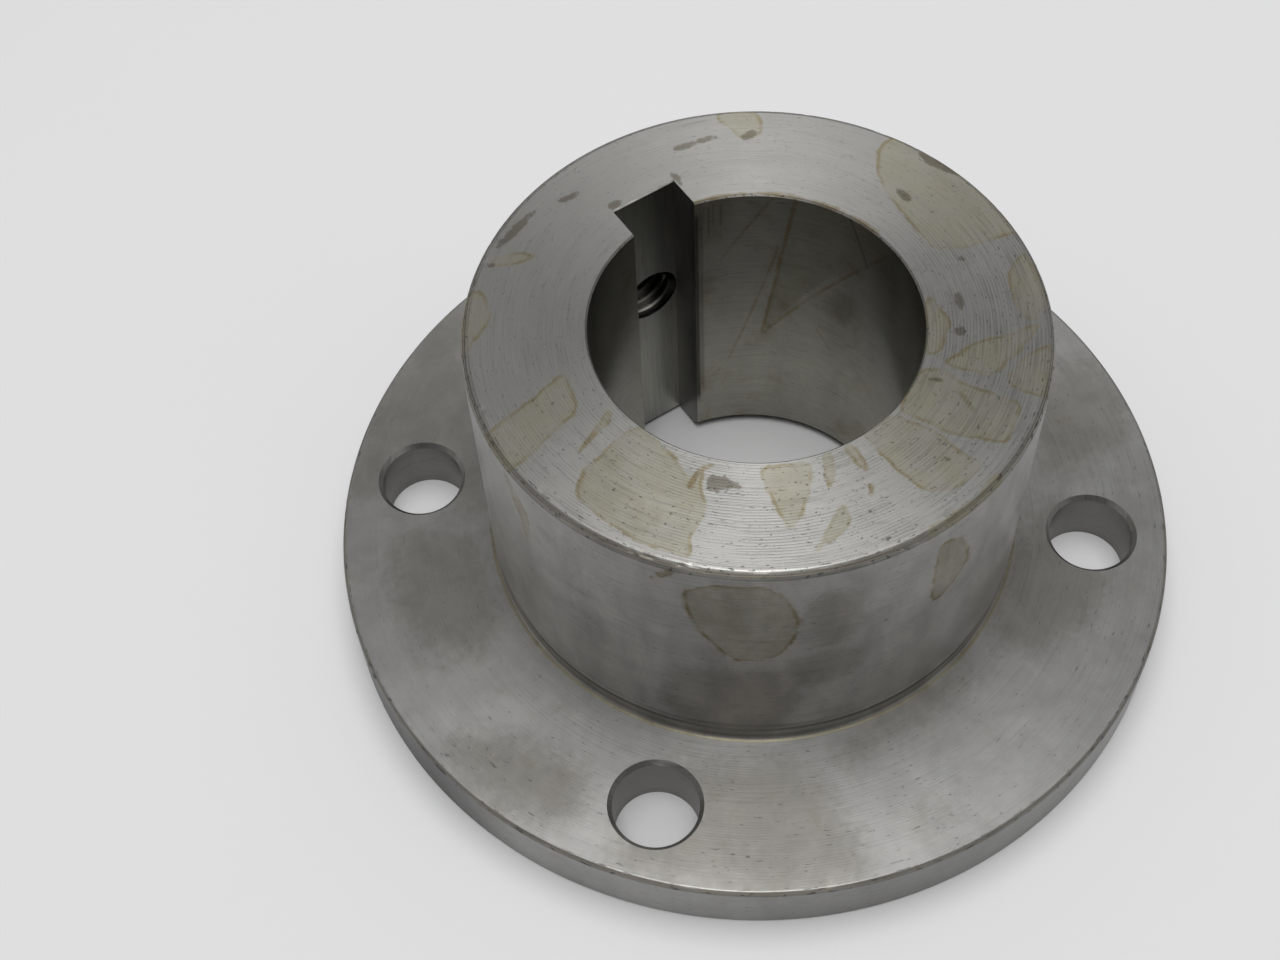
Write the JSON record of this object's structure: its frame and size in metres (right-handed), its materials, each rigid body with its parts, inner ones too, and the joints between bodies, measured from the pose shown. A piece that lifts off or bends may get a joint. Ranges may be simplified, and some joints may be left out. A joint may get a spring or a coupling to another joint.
{
  "type": "flanged shaft hub",
  "caption": "Turned steel hub and flange in one piece, with a keyed bore, bolt holes through the flange and a set screw through the hub wall over the keyway.",
  "frame": {"origin": "on the bore's axis at the flange's back face", "axes": "+Z along the bore's axis from the flange's back face to the hub's nose, +Y from the axis to the keyway and the set screw"},
  "size_m": [0.1188, 0.1188, 0.0517],
  "materials": {
    "turned_steel": "lathe turned, with oil stains",
    "black_oxide_steel": "black oxide"
  },
  "bodies": {
    "hub": {"flanged_hub": "turned_steel"},
    "screw": {"set_screw": "black_oxide_steel"}
  },
  "joints": [
    {"name": "set_screw_feed", "type": "slide", "parent": "hub", "child": "screw", "axis": [0, -1, 0], "range_m": [-0.00476, 0.00635]}
  ]
}
